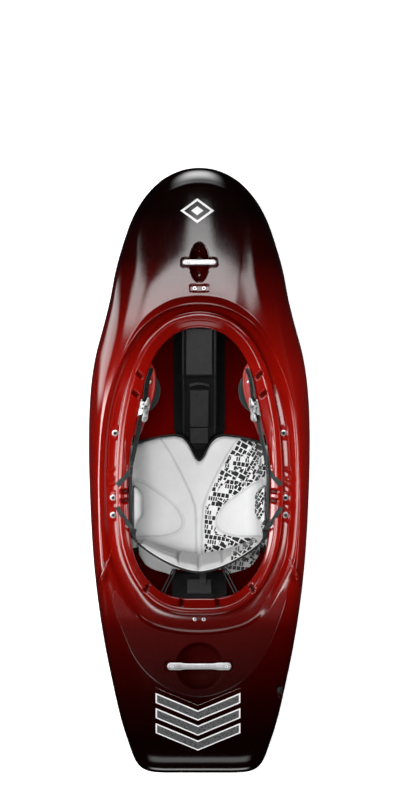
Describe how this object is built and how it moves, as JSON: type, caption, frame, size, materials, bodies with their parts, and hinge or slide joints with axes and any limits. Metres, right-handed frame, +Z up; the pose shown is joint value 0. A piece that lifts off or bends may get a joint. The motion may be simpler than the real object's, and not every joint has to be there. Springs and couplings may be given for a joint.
{
  "type": "whitewater kayak",
  "caption": "Short planing-hull whitewater kayak with recessed grab handles, cockpit rim, sliding seat, padded hips and a ratchet-tightened back band.",
  "frame": {"origin": "centre of the boat's length and beam, on the flat planing bottom", "axes": "+Y towards the bow, +Z up out of the cockpit, +X to starboard"},
  "size_m": [0.6726, 1.83, 0.4009],
  "materials": {
    "shell": "glossy rotomoulded polyethylene fading from black at both ends to deep red amidships",
    "handle_alloy": "satin",
    "steel": "polished",
    "pillar": "satin moulded",
    "foam": "closed-cell foam",
    "black_plastic": "satin moulded",
    "rubber": "matt",
    "brace_plastic": "satin moulded",
    "seat_cover": "coated neoprene, matt",
    "strap_plastic": "satin",
    "ratchet_grey": "mottled cast finish",
    "webbing": "woven",
    "cord": "braided"
  },
  "bodies": {
    "hull": {"hull_shell": "shell", "bow_grab_handle": "handle_alloy", "bow_screw_left": "steel", "bow_screw_right": "steel", "stern_grab_handle": "handle_alloy", "stern_screw_left": "steel", "stern_screw_right": "steel", "front_pillar": "pillar", "front_pillar_pad_upper": "foam", "front_pillar_pad_lower": "foam", "front_pillar_screw_left": "steel", "front_pillar_screw_right": "steel", "rear_pillar": "pillar", "rear_pillar_pad": "foam", "rear_pillar_screw_left": "steel", "rear_pillar_screw_right": "steel", "foot_bulkhead": "foam", "side_rail_left": "black_plastic", "side_rail_right": "black_plastic", "side_screw_front_left": "steel", "side_screw_middle_left": "steel", "side_screw_rear_left": "steel", "side_screw_front_right": "steel", "side_screw_middle_right": "steel", "side_screw_rear_right": "steel", "drain_bushing": "rubber", "thigh_brace_left": "brace_plastic", "thigh_brace_right": "brace_plastic", "ratchet_base_left": "ratchet_grey", "ratchet_base_right": "ratchet_grey", "rear_strap": "webbing", "front_anchor_webbing_left": "webbing", "front_anchor_webbing_right": "webbing", "rear_anchor_webbing_left": "webbing", "rear_anchor_webbing_right": "webbing", "bungee_loop_left": "cord", "bungee_loop_right": "cord", "rear_buckle_left": "black_plastic", "rear_buckle_right": "black_plastic"},
    "seat": {"seat_pan": "black_plastic", "seat_pad": "seat_cover", "hip_pad_left": "seat_cover", "hip_pad_right": "seat_cover"},
    "band_straps": {"side_webbing_left": "webbing", "side_webbing_right": "webbing"},
    "backband": {"backband_core": "black_plastic", "backband_cover": "seat_cover"},
    "lever_left": {"ratchet_lever_left": "ratchet_grey"},
    "lever_right": {"ratchet_lever_right": "ratchet_grey"},
    "release_left": {"ratchet_release_left": "ratchet_grey"},
    "release_right": {"ratchet_release_right": "ratchet_grey"},
    "knee_pad_left": {"thigh_pad_left": "foam", "thigh_pad_bolt_left": "steel"},
    "knee_pad_right": {"thigh_pad_right": "foam", "thigh_pad_bolt_right": "steel"},
    "drain": {"drain_plug": "black_plastic"},
    "ladder_left": {"ladder_strap_left": "strap_plastic", "ladder_lock_left": "black_plastic"},
    "ladder_right": {"ladder_strap_right": "strap_plastic", "ladder_lock_right": "black_plastic"}
  },
  "joints": [
    {"name": "seat_slide", "type": "slide", "parent": "hull", "child": "seat", "axis": [0, 1, 0], "range_m": [-0.03, 0.008]},
    {"name": "band_slide", "type": "slide", "parent": "hull", "child": "band_straps", "axis": [0, 1, 0], "range_m": [-0.015, 0.02], "deforming": ["side_webbing_left", "side_webbing_right", "front_anchor_webbing_left", "front_anchor_webbing_right", "rear_anchor_webbing_left", "rear_anchor_webbing_right", "bungee_loop_left", "bungee_loop_right", "rear_strap", "rear_buckle_left", "rear_buckle_right"]},
    {"name": "ladder_left_follow", "type": "slide", "parent": "band_straps", "child": "ladder_left", "axis": [0.8338, 0, 0.552], "range_m": [-0.006, 0.008]},
    {"name": "ladder_right_follow", "type": "slide", "parent": "band_straps", "child": "ladder_right", "axis": [-0.8338, 0, 0.552], "range_m": [-0.006, 0.008]},
    {"name": "backband_tilt", "type": "hinge", "parent": "band_straps", "child": "backband", "pos_m": [0, -0.222, 0.2], "axis": [1, 0, 0], "range_deg": [-8, 8]},
    {"name": "lever_left_lift", "type": "hinge", "parent": "hull", "child": "lever_left", "pos_m": [-0.16212, 0.19222, 0.35105], "axis": [-0.5032, -0.0146, 0.8641], "range_deg": [0, 55]},
    {"name": "lever_right_lift", "type": "hinge", "parent": "hull", "child": "lever_right", "pos_m": [0.16212, 0.19222, 0.35105], "axis": [-0.5032, 0.0146, -0.8641], "range_deg": [0, 55]},
    {"name": "release_left_press", "type": "hinge", "parent": "hull", "child": "release_left", "pos_m": [-0.15945, 0.20482, 0.35281], "axis": [0.5032, 0.0146, -0.8641], "range_deg": [0, 15], "stiffness_Nm_per_rad": 0.2, "springref_deg": -5.73},
    {"name": "release_right_press", "type": "hinge", "parent": "hull", "child": "release_right", "pos_m": [0.15945, 0.20482, 0.35281], "axis": [0.5032, -0.0146, 0.8641], "range_deg": [0, 15], "stiffness_Nm_per_rad": 0.2, "springref_deg": -5.73},
    {"name": "knee_pad_left_shift", "type": "slide", "parent": "hull", "child": "knee_pad_left", "axis": [-0.2774, -0.9502, -0.1419], "range_m": [0, 0.0414]},
    {"name": "knee_pad_right_shift", "type": "slide", "parent": "hull", "child": "knee_pad_right", "axis": [0.2774, -0.9502, -0.1419], "range_m": [0, 0.0414]},
    {"name": "drain_plug_turn", "type": "hinge", "parent": "hull", "child": "drain", "pos_m": [0.2413, -0.6616, 0.2391], "axis": [0.8592, -0.2041, 0.4691], "continuous": true}
  ],
  "couplings": [
    {"joint": "ladder_left_follow", "follows": "band_slide", "ratio": 0.25387},
    {"joint": "ladder_right_follow", "follows": "band_slide", "ratio": 0.25387}
  ]
}
